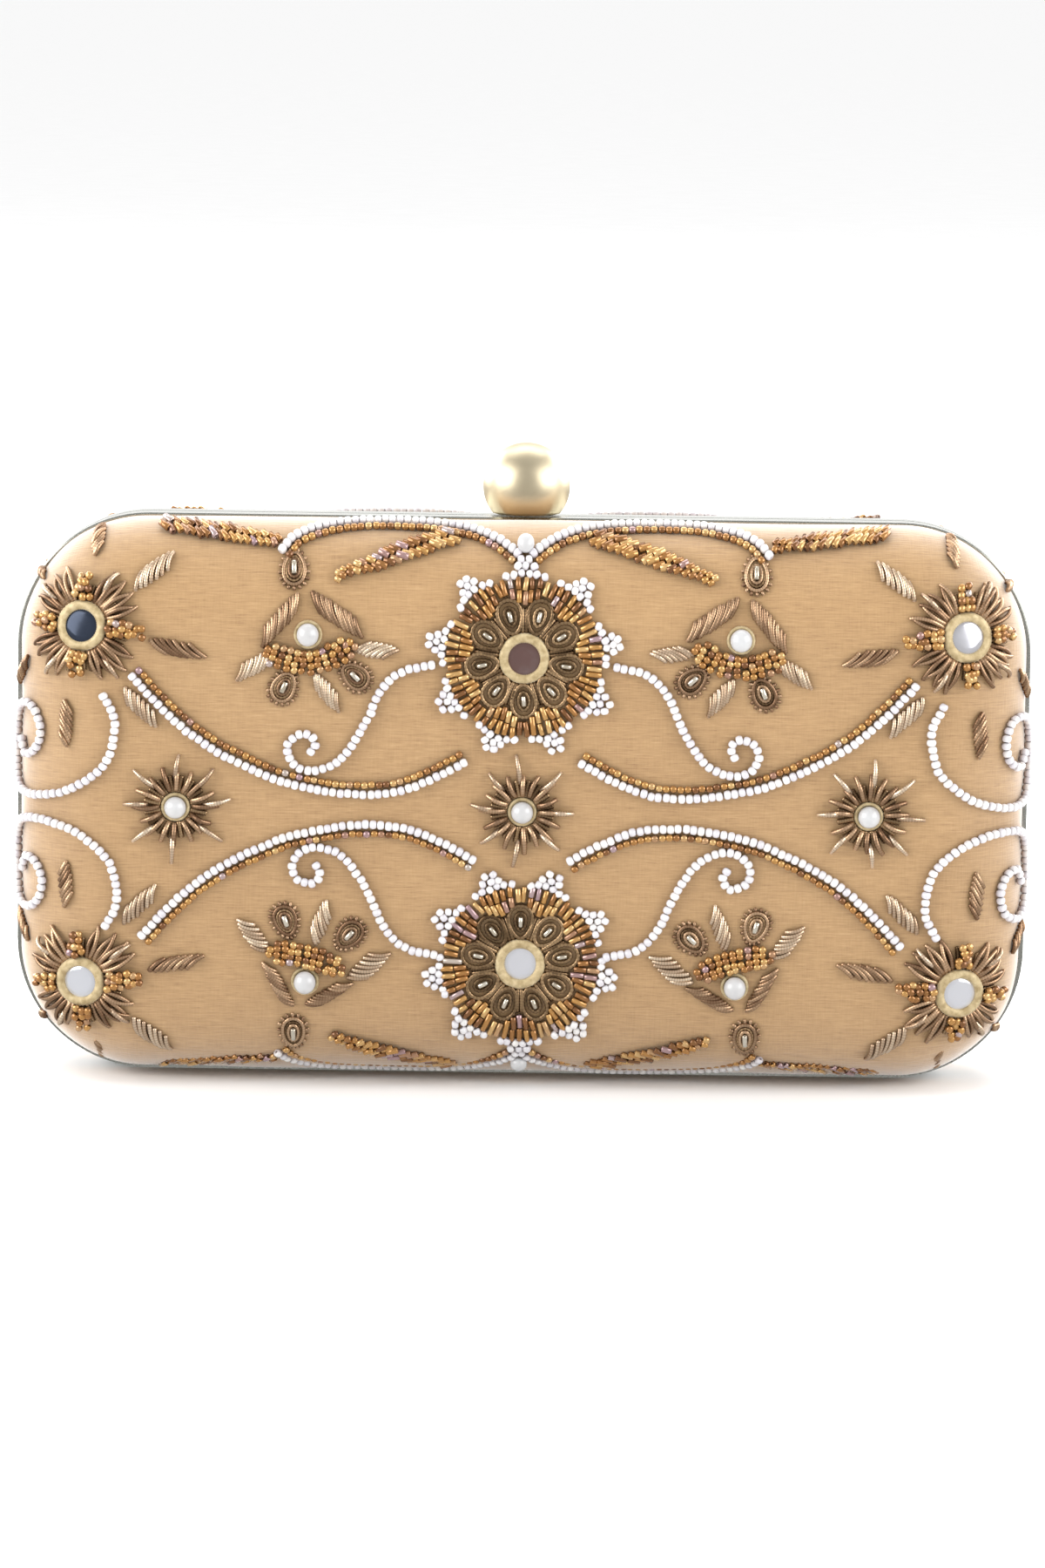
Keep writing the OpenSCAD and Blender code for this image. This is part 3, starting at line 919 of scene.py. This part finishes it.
def corner_flower(work, spot, su, sv):
    """Round a mirror: a fringe of dark coils, four clusters of amber beads, and gold petals between."""
    fringe = 36
    for k in range(fringe):
        a = 2 * math.pi * (k + rng.uniform(0.3, 0.7)) / fringe
        strand(work["dark_coils"], toward(spot, a, 4.7), toward(spot, a, rng.uniform(8.0, 9.6)), 0.5, 0.15)
    for k in range(4):
        a = k * math.pi / 2 + 0.08 * su * sv
        rows = 6 if su * math.cos(a) < -0.5 else 4
        for row in range(rows):
            for t in (-1.15, 0.0, 1.15) if row < rows - 2 else (-0.6, 0.6):
                centre = toward(toward(spot, a, 5.6 + row * 1.25), a + math.pi / 2, t)
                place = [(*(centre + rng.normal(0, 0.2, 2)), a + jitter(0.8))]
                lay_beads(work["amber_beads"], SEED, place, 1.5, 0.76, rng.uniform(0.4, 1.1))
        between = a + math.pi / 4
        for side in (-1.5, -0.5, 0.5, 1.5):
            b = between + side * 0.235 + jitter(0.04)
            far = rng.uniform(10.6, 12.2)
            for turn in (-1, 1):
                start = toward(spot, b + turn * 0.05, 5.0)
                end = toward(spot, b - turn * 0.01, far - 0.3 * turn)
                strand(work["gold_coils"], start, end, 0.52, rng.uniform(0.6, 1.1), 0.09 * turn, 0.2)
        b = between + jitter(0.3)
        strand(work["pale_coils"], toward(spot, b, 7.4), toward(spot, b, 12.4), 0.56, 1.5, 0.04, 0.3)


# Leaves round a corner flower: root and tip from its middle, the coils they are of, and their slant
CORNER_LEAVES = [
    ((-1.6, 13.6), (-2.4, 23.0), "leaves", 0.4),
    ((-10.4, 6.7), (-17.8, 15.0), "pale_coils", -0.44),
    ((-13.2, -2.2), (-24.4, -5.8), "leaves", 0.36),
    ((-8.6, -11.4), (-14.7, -19.8), "pale_coils", 0.44),
    ((3.6, -14.4), (2.7, -24.0), "leaves", -0.42),
    ((10.5, 9.5), (16.0, 15.0), "leaves", 0.4),
    ((13.0, -6.5), (17.8, -13.0), "leaves", -0.4),
]

# The parts of a small flower, from its pearl: u is outward, and v is away from the half's middle line. An
# arch or a leaf is its root, tip and slant.
UPPER_MOTIF = {
    "arches": [((2.2, 8.2), (8.9, -2.9), -0.42), ((-0.7, 8.4), (-10.7, -0.8), 0.44)],
    "crescent": [(8.0, -3.2), (3.8, -4.8), (-0.2, -5.3), (-4.2, -4.4), (-8.6, -1.6)],
    "leaves": [
        ((7.4, -3.2), (14.0, -9.4), -0.44),
        ((-1.4, -7.0), (-6.2, -15.2), 0.4),
        ((-8.8, -3.2), (-17.8, -2.6), -0.42),
    ],
    "drops": [(4.6, -10.2), (-9.2, -7.9)],
    "pendant": (2.9, 12.6),
}
LOWER_MOTIF = {
    "arches": [((2.0, 4.9), (8.6, -3.7), 0.36), ((0.1, 4.5), (-9.6, 0.4), -0.36)],
    "crescent": [(7.0, -5.8), (3.6, -5.6), (0.2, -5.0), (-3.5, -3.9), (-7.2, -2.4)],
    "leaves": [
        ((6.8, -5.8), (13.6, -12.0), 0.46),
        ((-2.2, -6.8), (-4.0, -16.4), 0.4),
        ((-7.9, -0.8), (-17.0, -5.6), -0.46),
    ],
    "drops": [(3.9, -11.8), (-8.6, -9.2)],
    "pendant": (2.3, 10.8),
}


def motif(work, pearl, su, sv, plan):
    """A small flower: a pearl under two arches, an amber crescent, three pale leaves and three drops."""

    def at(p):
        return np.array([pearl[0] + su * p[0], pearl[1] + sv * p[1]])

    wound_ring(work["rings"], pearl, *MOTIF_RING)
    for root, tip, slant in plan["arches"]:
        leaf(work["gold_coils"], at(root), at(tip), slant * su * sv, *ARCH_COILS)
    path = curve_through([at(p) for p in plan["crescent"]], 1.45)
    for row, aside in enumerate((-1.75, -0.6, 0.6, 1.75)):
        line = beside(path, aside) + rng.normal(0, 0.14, path.shape)
        spots = np.column_stack([line, headings(path) + rng.uniform(-1.0, 0.4, len(path)) * su * sv])
        spots = spots[1:-1] if row in (0, 3) else spots
        lay_beads(work["amber_beads"], SEED, spots, 1.5, 0.74, rng.uniform(0.2, 0.7))
    for root, tip, slant in plan["leaves"]:
        leaf(work["pale_coils"], at(root), at(tip), slant * su * sv, *PALE_LEAF_COILS)
    for place in plan["drops"]:
        away = at(place) - np.asarray(pearl)
        drop_motif(work, at(place), math.atan2(-away[1], -away[0]), *DROP_SIZE)
    drop_motif(work, at(plan["pendant"]), math.pi / 2 * sv, *PENDANT_SIZE)


def drop_motif(work, centre, angle, long, wide):
    """A bright bugle in three ovals of coil, gold, dark and gold, with a scalloped edge. The sunk dark oval
    is painted shadow, in the gap between the gold ones.
    """
    bright_bar(work, centre, angle, 0.36 * long, 0.55)
    inner = oval_path(centre, angle, long * 0.5, wide * 0.44, -0.12, 0.6)
    line = oval_path(centre, angle, long * 0.7, wide * 0.68, -0.15, 0.45)
    outer = oval_path(centre, angle, long * 0.92, wide * 0.94, -0.18, 0.5)
    coil(work["gold_coils"], inner, 0.42, True)
    # Painted shadow: a dark coil sunk low where the gap between the gold ovals falls in shade
    coil(work["dark_coils"], line, 0.34, True, BEAD_PITCH)
    coil(work["gold_coils"], outer, 0.44, True)
    for p in oval_path(centre, angle, long * 1.14, wide * 1.22, -0.2, 0.36, 18):
        out = math.atan2(p[1] - centre[1], p[0] - centre[0])
        strand(work["gold_coils"], toward(p, out, -0.4), toward(p, out + 0.5, 0.35), 0.36, 0.3)


def braid(work, start, end, count, width, thin_end):
    """Amber bugles on a slant in two rows, like a rope: thin at its end, or else at its start."""
    start, end = np.array(start, float), np.array(end, float)
    heading = math.atan2(end[1] - start[1], end[0] - start[0])
    lean = math.copysign(0.75, end[0] * end[1])
    for k in range(count):
        t = k / (count - 1)
        full = 1 - 0.5 * smooth_step((t - 0.45) / 0.55) if thin_end else 0.6 + 0.4 * smooth_step(t / 0.5)
        for side in (-0.5, 0.5):
            step = (end - start) * (t + side * 0.4 / count)
            place = toward(start + step, heading + math.pi / 2, side * width * full)
            place = place + rng.normal(0, 0.12, 2)
            way = heading + lean + jitter(0.2)
            lay_beads(work["braids"], BUGLE, [(*place, way)], 2.5 * full, 0.68, rng.uniform(0.0, 0.6))


def quarter(work, su, sv):
    """The lines, braids, corner flower, leaves and small flower of the quarter with signs su and sv. The
    lower lines lie a little differently from the upper ones, as sewn by hand."""
    upper = sv > 0
    beside_white = -AMBER_ASIDE * su * sv
    long_arc = mirrored(LONG_ARC, su, sv, 0 if upper else -2)
    scroll = mirrored(SCROLL, su, sv, 0 if upper else -1.2)
    side_scroll = mirrored(SIDE_SCROLL, su, sv, *((0, 0) if upper else (-0.5, 2.3)))
    edge_arc = mirrored(EDGE_ARC, su, sv)
    bead_line(work["white_beads"], long_arc, WHITE_PITCH, WHITE_R)
    bead_line(work["amber_beads"], long_arc, AMBER_PITCH, AMBER_R, beside_white)
    bead_line(work["white_beads"], scroll, WHITE_PITCH, WHITE_R)
    bead_line(work["white_beads"], side_scroll, WHITE_PITCH, WHITE_R)
    bead_line(work["white_beads"], edge_arc, WHITE_PITCH, WHITE_R)
    bead_line(work["amber_beads"], edge_arc, AMBER_PITCH, AMBER_R, beside_white)
    braid(work, *mirrored(OUTER_BRAID, su, sv), 17, 1.7, False)
    braid(work, *mirrored(INNER_BRAID, su, sv), 19, 1.9, True)
    corner = (su * CORNER_U, sv * CORNER_V)
    corner_flower(work, corner, su, sv)
    for root, tip, kind, slant in CORNER_LEAVES:
        ends = [(corner[0] + su * p[0], corner[1] + sv * p[1]) for p in (root, tip)]
        leaf(work[kind], *ends, slant * su * sv, *CORNER_LEAF_COILS)
    motif(work, (su * MOTIF_U, sv * MOTIF_V), su, sv, UPPER_MOTIF if upper else LOWER_MOTIF)


def add_trim(work):
    """The mirrors, their rings and the pearls, which stand where the frame has them."""
    for spot, tone in MIRRORS:
        glass(work["glasses"], spot, tone)
        wound_ring(work["rings"], spot, *MIRROR_RING)
    for spot in STAR_SPOTS + [(su * MOTIF_U, sv * MOTIF_V) for su in (1, -1) for sv in (1, -1)]:
        round_pearl(work["pearl_beads"], spot, PEARL_R)
    for sv in (1, -1):
        round_pearl(work["pearl_beads"], (0, EDGE_PEARL_V * sv), EDGE_PEARL_R)


def sew_panel():
    """Everything on one half: a pile for each kind of thing."""
    work = {kind: Pile() for kind in LOOKS}
    for sv in (1, -1):
        big_flower(work, (0, FLOWER_V * sv), math.pi / 2 * sv + math.pi / 9)
    for spot in STAR_SPOTS:
        star(work, spot)
    for sv in (1, -1):
        for su in (1, -1):
            quarter(work, su, sv)
    add_trim(work)
    return work


# --- The two halves -------------------------------------------------------------------------------

# The kinds of the piles that stand for CAD nodes, and those nodes' names after the half's
STANDS_FOR = {"glasses": "mirrors", "rings": "mirror_rings", "pearl_beads": "pearls"}


def pleats(panel):
    """How far the lining stands off the board: it is folded into small pleats round each corner."""
    over_u = np.maximum(np.abs(panel[:, 0]) - SIDE_X, 0)
    over_v = np.maximum(np.abs(panel[:, 1]) - SIDE_Z, 0)
    run, angle = np.hypot(over_u, over_v), np.arctan2(over_v, over_u)
    fold = np.abs(np.sin(5.5 * angle + 0.4 * np.sin(9 * angle))) ** 0.7
    in_corner = np.where((over_u > 0) & (over_v > 0), np.sin(2 * angle) ** 0.5, 0)
    high = 0.9 * (1 - fold) * in_corner * smooth_step((run - 9) / 12)
    return np.column_stack([np.zeros((len(panel), 2)), high])


def make_silk(body, turn):
    """The padded cover of a half."""
    panel, quads = cover_trays[body].grid(PLAIN_CORNER)
    silk = new_object(f"{body}_silk", cover_trays[body].bend(panel, turn), quads, SILK)
    add_panel_uv(silk, panel)
    thicken(silk, SHEET_T * MM, -1)
    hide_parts(f"{body}_cover", f"{body}_foam")
    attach(silk, body)


def make_lining(body, turn):
    """The satin inside a half. It is cut to reach up the walls on all four sides."""
    panel, quads = lining_tray.grid(PLEATED_CORNER)
    lining = new_object(f"{body}_satin", lining_tray.bend(panel - pleats(panel), turn), quads, SATIN)
    add_panel_uv(lining, panel)
    thicken(lining, SHEET_T * MM, 1)
    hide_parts(f"{body}_lining")
    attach(lining, body)


def make_embroidery(body, turn):
    for kind, pile in sew_panel().items():
        piece = pile.build(f"{body}_{kind}", LOOKS[kind], cover_trays[body], turn)
        if kind in STANDS_FOR:
            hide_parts(f"{body}_{STANDS_FOR[kind]}")
        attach(piece, body)


def make_half(body, turn):
    """turn is 1 for the front half and -1 for the rear."""
    make_silk(body, turn)
    make_lining(body, turn)
    make_embroidery(body, turn)


make_half("front", 1)
make_half("rear", -1)

# --- Knob -----------------------------------------------------------------------------------------


def make_knob():
    """A satin ball with a flat base, turned in one piece."""
    sides, steps, chamfer = 72, 39, 0.5
    radius = (ball_high[0] - ball_low[0]) / 2
    centre = ball_high[2] - radius
    base = ball_low[2]
    foot = math.sqrt(radius**2 - (centre - base) ** 2)
    lowest = math.pi - math.asin(foot / radius) - 0.03
    rings = [(foot - chamfer, base), (foot, base + chamfer / 2)]
    for a in np.linspace(lowest, 0.0, steps + 1)[:-1]:
        rings.append((radius * math.sin(a), centre + radius * math.cos(a)))
    points, faces = [(0, 0, base)], []
    for r, z in rings:
        for j in range(sides):
            a = 2 * math.pi * j / sides
            points.append((r * math.cos(a), r * math.sin(a), z))
    points.append((0, 0, centre + radius))
    last = len(points) - 1
    top = 1 + (len(rings) - 1) * sides
    for j in range(sides):
        n = (j + 1) % sides
        faces.append((0, 1 + n, 1 + j))
        for k in range(len(rings) - 1):
            a, b = 1 + k * sides, 1 + (k + 1) * sides
            faces.append((a + j, a + n, b + n, b + j))
        faces.append((top + j, top + n, last))
    ball = new_object("ball_knob", np.array(points) * MM, faces, BALL_METAL)
    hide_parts("knob_ball")
    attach(ball, "knob")


make_knob()

# --- Slip pocket ----------------------------------------------------------------------------------


POCKET_COLUMNS, POCKET_ROWS = 73, 45
POCKET_T = 0.45
# How far the simulation may move a point: down the axes, and up them
MOST_DOWN, MOST_UP = (-1.5, -3.5, -2.5), (1.5, 3.5, 1.0)
SETTLING_FRAMES = 24
# A light, limp cloth, cut 3.5 % too big for its place
SATIN_CLOTH = {
    "quality": 8,
    "mass": 0.1,
    "tension_stiffness": 12,
    "compression_stiffness": 12,
    "shear_stiffness": 4,
    "bending_stiffness": 0.02,
    "shrink_min": -0.035,
}


def thread_tubes(name, paths, radius, material):
    """A round thread along each path of points, in millimetres."""
    sides, points, quads, count = 6, [], [], 0
    for path in paths:
        radii = np.full(len(path), radius)
        points.append(tube_points(path, np.gradient(path, axis=0), (0, 1.0, 0), radii, sides))
        quads.append(tube_quads(len(path), sides, False) + count)
        count += len(path) * sides
    return new_object(name, np.concatenate(points) * MM, np.concatenate(quads).tolist(), material)


def drape_pocket(piece, pinned):
    """Lets a slack satin sheet, sewn down on three sides, fall into its own folds."""
    piece.vertex_groups.new(name="sewn").add(pinned, 1.0, "REPLACE")
    cloth = piece.modifiers.new("cloth", "CLOTH")
    cloth.settings.vertex_group_mass = "sewn"
    for setting, value in SATIN_CLOTH.items():
        setattr(cloth.settings, setting, value)
    cloth.collision_settings.use_collision = False
    scene = bpy.context.scene
    for frame_number in range(1, SETTLING_FRAMES + 1):
        scene.frame_set(frame_number)
    apply_modifiers(piece)
    scene.frame_set(1)


def pocket_grid(wall):
    """The pocket before it falls: its points row by row from the bottom, their places on the flat cloth,
    and its quads."""
    low, high = pocket_low, pocket_high
    points, panel = [], []
    for z in np.linspace(low[2], high[2], POCKET_ROWS):
        for x in np.linspace(low[0], high[0], POCKET_COLUMNS):
            t = (z - low[2]) / (high[2] - low[2])
            s = (x - low[0]) / (high[0] - low[0])
            belly = 1.8 * math.sin(math.pi * s) ** 0.7 * smooth_step(t) ** 1.3
            crease = 0.2 * math.sin(s * 41) * math.sin(math.pi * s) * (1 - 0.6 * t)
            points.append((x, wall - 0.3 - belly - crease, z))
            panel.append((x, z, 0))
    faces = []
    for r in range(POCKET_ROWS - 1):
        for c in range(POCKET_COLUMNS - 1):
            a = r * POCKET_COLUMNS + c
            faces.append((a, a + 1, a + POCKET_COLUMNS + 1, a + POCKET_COLUMNS))
    return np.array(points), np.array(panel), faces


def running_stitch(line):
    """Short stitches, two in every three, along a line of points."""
    line = curve_through(line, 1.0)
    proud = np.array((0, -0.5, 0))
    return [line[k : k + 3] + proud for k in range(1, len(line) - 3, 3)]


def make_pocket():
    """A satin pocket sewn down on three sides, with a stitched hem and a top edge that gapes a little."""
    wall = pocket_high[1] - 0.55
    start, panel, faces = pocket_grid(wall)
    pocket = new_object("pocket", start * MM, faces, SATIN)
    columns = POCKET_COLUMNS
    sewn = [k for k in range(len(start)) if k < columns or k % columns in (0, columns - 1)]
    drape_pocket(pocket, sewn)
    add_panel_uv(pocket, panel)
    fallen = np.array([v.co[:] for v in pocket.data.vertices]) / MM
    fallen = start + np.clip(fallen - start, MOST_DOWN, MOST_UP)
    fallen[:, 1] = np.minimum(fallen[:, 1], wall - 0.1)
    pocket.data.vertices.foreach_set("co", (fallen * MM).ravel())
    thicken(pocket, POCKET_T * MM, -1)

    rows = fallen.reshape(POCKET_ROWS, POCKET_COLUMNS, 3)
    hem = thread_tubes("pocket_hem", [rows[-1] + np.array((0, -0.225, 0))], 0.75, SATIN)
    stitches = []
    for line in (rows[-6], rows[-7], rows[:, 1], rows[:, -2]):
        stitches += running_stitch(line)
    sewing = thread_tubes("pocket_stitches", stitches, 0.2, THREAD)
    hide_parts("slip_pocket")
    for piece, slot in ((pocket, "lining"), (hem, "lining"), (sewing, "gold_cord")):
        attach(piece, "rear")


make_pocket()

# --- CAD pieces that keep their shape -------------------------------------------------------------

CAD_LOOKS = {
    "rear_frame": RIM_METAL,
    "front_frame": RIM_METAL,
    "rear_shell": BOARD,
    "front_shell": BOARD,
    "rear_foam": WADDING,
    "front_foam": WADDING,
}
for name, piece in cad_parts.items():
    piece.data.materials.clear()
    piece.data.materials.append(CAD_LOOKS.get(name, PART_METAL))

# --- Stage, light and camera ----------------------------------------------------------------------

WHITE = (1.0, 1.0, 1.0, 1)
FLOOR_REACH = 80.0
# The grey that lights the bag from all round, and the white that the camera sees past the floor
FILL, BACKDROP = 0.5, 1.0
# Each softbox's name, place along x and y, and power
SOFTBOXES = (
    ("left", -1.85, -0.85, 42),
    ("right", 1.85, -0.85, 36),
    ("rear_left", -1.7, 1.4, 40),
    ("rear_right", 1.7, 1.4, 40),
)


def make_floor():
    """A wide plain floor, which the metal doesn't mirror."""
    r = FLOOR_REACH
    corners = [(-r, -r, 0), (r, -r, 0), (r, r, 0), (-r, r, 0)]
    floor = new_object("floor", corners, [(0, 1, 2, 3)], FLOOR, False)
    floor.visible_glossy = False


def lamp(name, kind, place, strength, **settings):
    """A lamp that points at the bag's middle. The camera doesn't see it, and metal mirrors it unless it is
    a sun."""
    data = bpy.data.lights.new(name, kind)
    data.energy = strength
    for setting, value in settings.items():
        setattr(data, setting, value)
    holder = bpy.data.objects.new(name, data)
    holder.location = place
    aim = Vector((0, 0, MID_Z * MM))
    holder.rotation_euler = (aim - Vector(place)).to_track_quat("-Z", "Y").to_euler()
    holder.visible_camera = False
    holder.visible_glossy = kind != "SUN"
    bpy.context.scene.collection.objects.link(holder)


def make_lamps():
    """Two soft lights overhead, one behind for the metal's edges, and softboxes on both sides."""
    lamp("overhead", "SUN", (-0.2, 0.25, 1.2), 2.1, angle=1.2)
    lamp("above", "AREA", (0, 0.8, 1.5), 12, shape="RECTANGLE", size=1.6, size_y=0.9)
    lamp("back", "AREA", (0, 3.0, 0.75), 22, shape="RECTANGLE", size=5.0, size_y=1.5)
    for name, x, y, power in SOFTBOXES:
        lamp(name, "AREA", (x, y, 0.9), power, shape="RECTANGLE", size=2.0, size_y=1.6)


def background(tree, strength):
    made = tree.nodes.new("ShaderNodeBackground")
    made.inputs["Color"].default_value = WHITE
    made.inputs["Strength"].default_value = strength
    return made.outputs[0]


def make_world():
    """Even grey light all round. Where the camera sees past the floor, it is white like the floor."""
    world = bpy.data.worlds.new("studio")
    world.use_nodes = True
    tree = world.node_tree
    tree.nodes.clear()
    mix = tree.nodes.new("ShaderNodeMixShader")
    output = tree.nodes.new("ShaderNodeOutputWorld")
    tree.links.new(tree.nodes.new("ShaderNodeLightPath").outputs["Is Camera Ray"], mix.inputs[0])
    tree.links.new(background(tree, FILL), mix.inputs[1])
    tree.links.new(background(tree, BACKDROP), mix.inputs[2])
    tree.links.new(mix.outputs[0], output.inputs["Surface"])
    bpy.context.scene.world = world


def make_camera():
    """Eight degrees above the bag, far off with a long lens, and rolled a little."""
    aim = Vector((0, 0, 57.4 * MM))
    distance, elevation, roll = 1.15, math.radians(8), math.radians(0.8)
    data = bpy.data.cameras.new("camera")
    data.sensor_fit = "VERTICAL"
    data.sensor_height = 24.0
    data.lens = 88.5
    camera = bpy.data.objects.new("camera", data)
    ahead = Vector((0, math.cos(elevation), -math.sin(elevation)))
    camera.location = aim - distance * ahead
    look = ahead.to_track_quat("-Z", "Y").to_matrix()
    camera.rotation_euler = (look @ Matrix.Rotation(roll, 3, "Z")).to_euler()
    bpy.context.scene.collection.objects.link(camera)
    bpy.context.scene.camera = camera


make_floor()
make_world()
make_lamps()
make_camera()
bpy.context.scene.view_settings.view_transform = "Standard"

bpy.context.view_layer.update()
